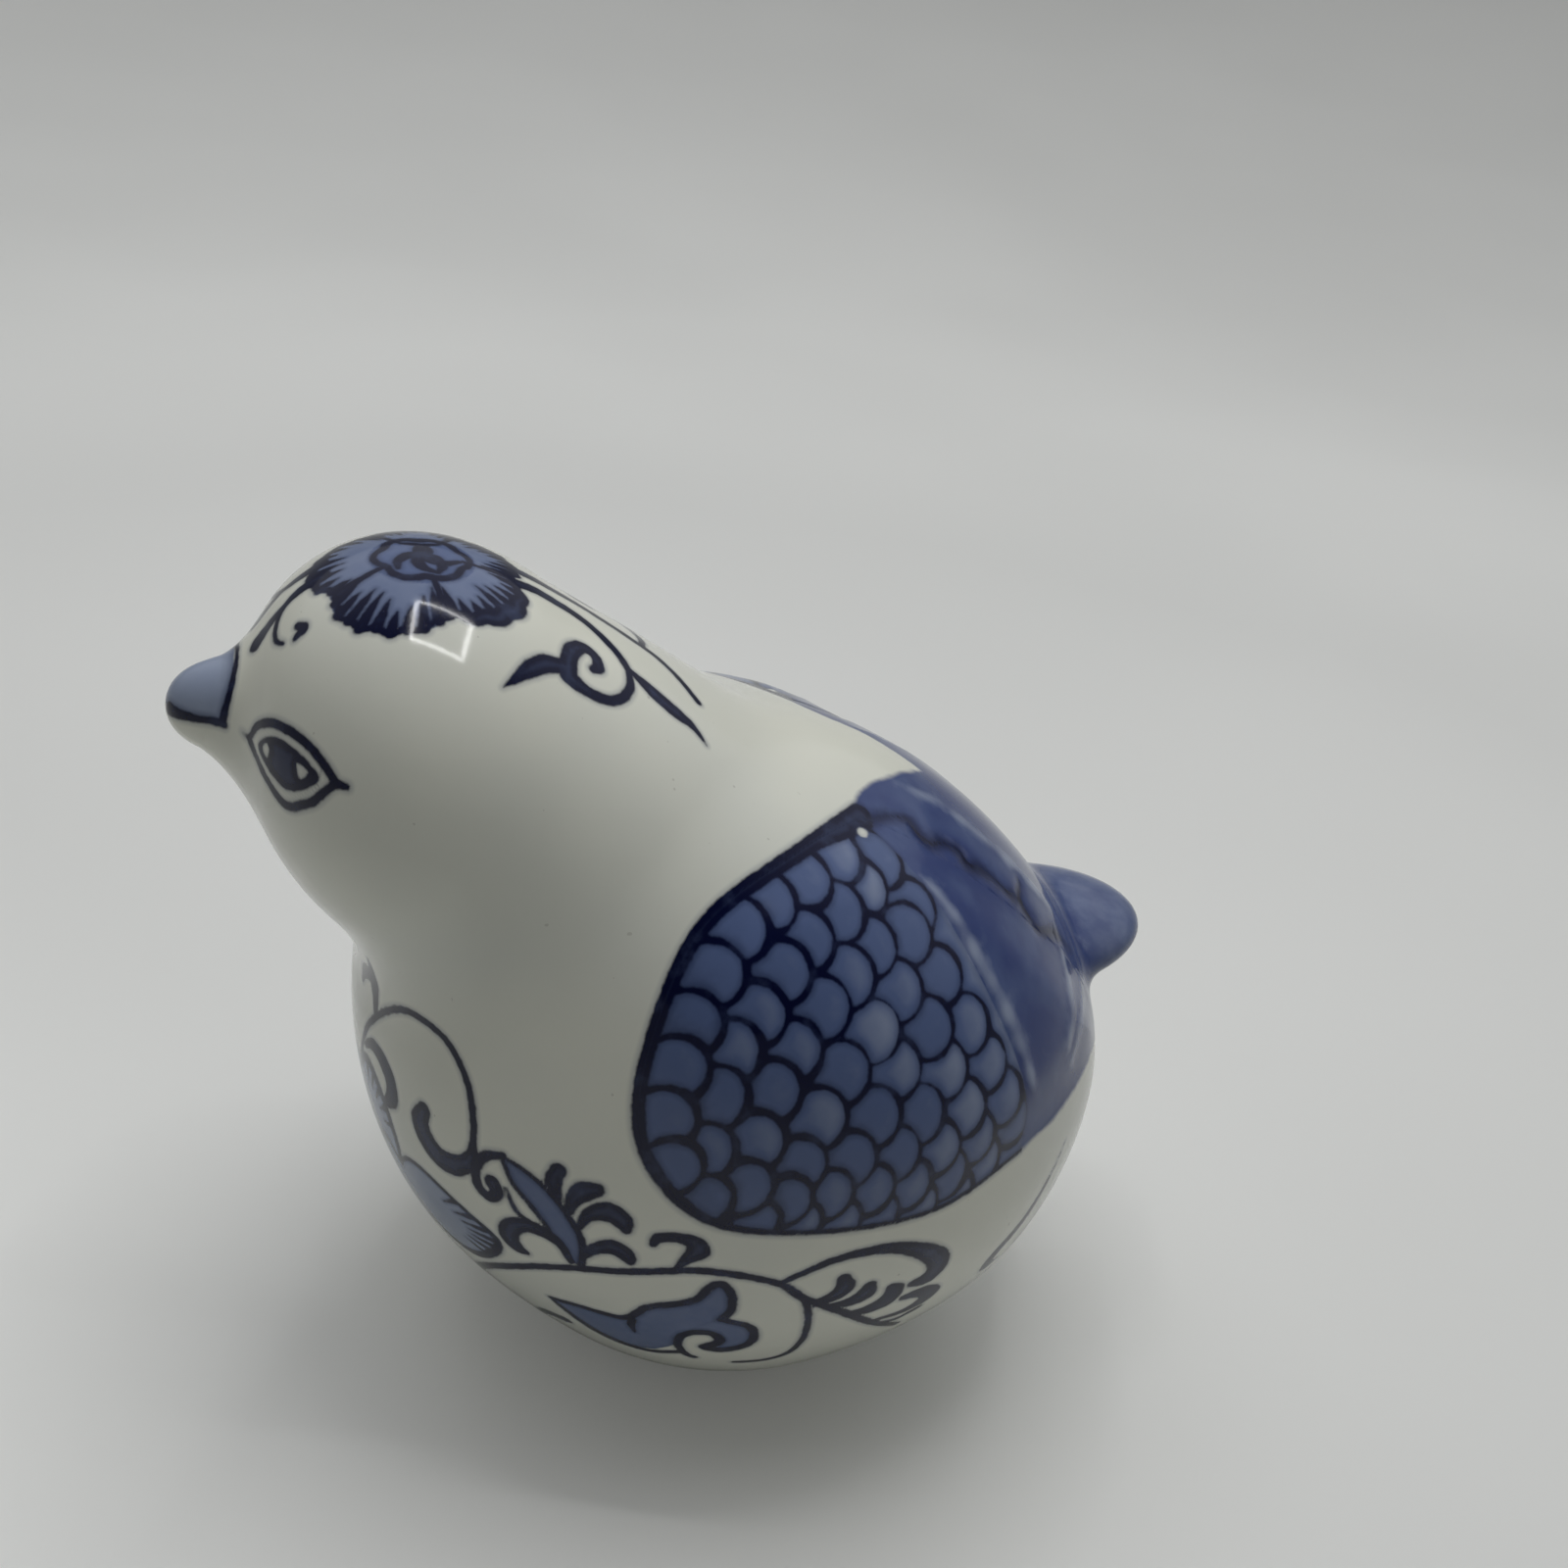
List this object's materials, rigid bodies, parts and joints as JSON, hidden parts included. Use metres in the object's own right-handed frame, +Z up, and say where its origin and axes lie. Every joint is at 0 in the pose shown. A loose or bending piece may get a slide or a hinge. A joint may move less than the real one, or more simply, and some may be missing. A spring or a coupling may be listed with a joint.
{
  "type": "porcelain bird figurine",
  "caption": "Hollow glazed porcelain bird with a round body, short beak, folded relief wings, stub tail and a flat foot, painted in underglaze blue; stands free as an ornament.",
  "frame": {"origin": "middle of the bird's box, on the surface that it stands on", "axes": "+Z up, the bird faces -Y with its tail at +Y, its left wing at +X"},
  "size_m": [0.077, 0.1051, 0.0898],
  "materials": {
    "white_glaze": "clear gloss glaze over warm white porcelain, with underglaze blue painting",
    "scale_glaze": "clear gloss glaze over grey-blue scales with navy outlines",
    "feather_glaze": "clear gloss glaze over a cobalt wash that pools in the feather lines",
    "slate_glaze": "clear gloss glaze over a thin grey-blue wash",
    "bare_biscuit": "unglazed fired porcelain, dry and matt"
  },
  "bodies": {
    "root": {"body_shell": "white_glaze", "head_shell": "white_glaze", "upper_bill": "slate_glaze", "lower_bill": "white_glaze", "left_wing_scales": "scale_glaze", "right_wing_scales": "scale_glaze", "left_wing_feathers": "feather_glaze", "right_wing_feathers": "feather_glaze", "tail": "slate_glaze", "base_plate": "bare_biscuit"}
  },
  "joints": []
}
